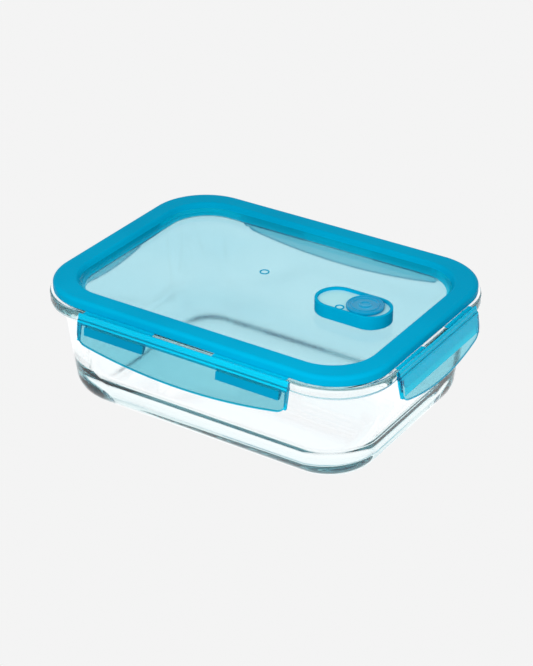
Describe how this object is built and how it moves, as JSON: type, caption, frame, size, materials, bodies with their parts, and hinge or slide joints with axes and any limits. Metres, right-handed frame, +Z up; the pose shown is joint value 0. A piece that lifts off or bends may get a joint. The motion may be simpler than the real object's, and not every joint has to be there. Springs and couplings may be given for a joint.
{
  "type": "glass storage container",
  "caption": "Rectangular glass food dish with a translucent plastic lid, hinged side latches, a seal round the rim and a pull-up steam vent plug.",
  "frame": {"origin": "middle of the dish's underside, on the surface it stands on", "axes": "+X along the long side towards the vent plug, +Y towards the back long side, +Z up"},
  "size_m": [0.21, 0.1592, 0.0692],
  "materials": {
    "glass": "clear polished glass, faint green-grey at thick edges",
    "lid_blue": "translucent cyan-blue plastic, satin to gloss",
    "latch_blue": "translucent light blue plastic, gloss",
    "plug_blue": "translucent blue plastic, gloss",
    "silicone": "soft translucent blue silicone, matte"
  },
  "bodies": {
    "dish": {"glass_dish": "glass"},
    "lid": {"lid_shell": "lid_blue", "rim_gasket": "silicone", "web_front_a": "latch_blue", "web_front_b": "latch_blue", "web_right_a": "latch_blue", "web_right_b": "latch_blue", "web_back_a": "latch_blue", "web_back_b": "latch_blue", "web_left_a": "latch_blue", "web_left_b": "latch_blue"},
    "vent": {"vent_plug": "plug_blue", "vent_seal": "silicone"},
    "front_latch": {"latch_front": "latch_blue"},
    "right_latch": {"latch_right": "latch_blue"},
    "back_latch": {"latch_back": "latch_blue"},
    "left_latch": {"latch_left": "latch_blue"}
  },
  "joints": [
    {"name": "lid_lift", "type": "slide", "parent": "dish", "child": "lid", "axis": [0, 0, 1], "range_m": [0, 0.09]},
    {"name": "vent_pull", "type": "slide", "parent": "lid", "child": "vent", "axis": [0, 0, 1], "range_m": [0, 0.01]},
    {"name": "front_latch_hinge", "type": "hinge", "parent": "lid", "child": "front_latch", "pos_m": [0, -0.0735, 0.0623], "axis": [-1, 0, 0], "range_deg": [0, 130]},
    {"name": "right_latch_hinge", "type": "hinge", "parent": "lid", "child": "right_latch", "pos_m": [0.0989, 0, 0.0623], "axis": [0, -1, 0], "range_deg": [0, 130]},
    {"name": "back_latch_hinge", "type": "hinge", "parent": "lid", "child": "back_latch", "pos_m": [0, 0.0735, 0.0623], "axis": [1, 0, 0], "range_deg": [0, 130]},
    {"name": "left_latch_hinge", "type": "hinge", "parent": "lid", "child": "left_latch", "pos_m": [-0.0989, 0, 0.0623], "axis": [0, 1, 0], "range_deg": [0, 130]}
  ]
}
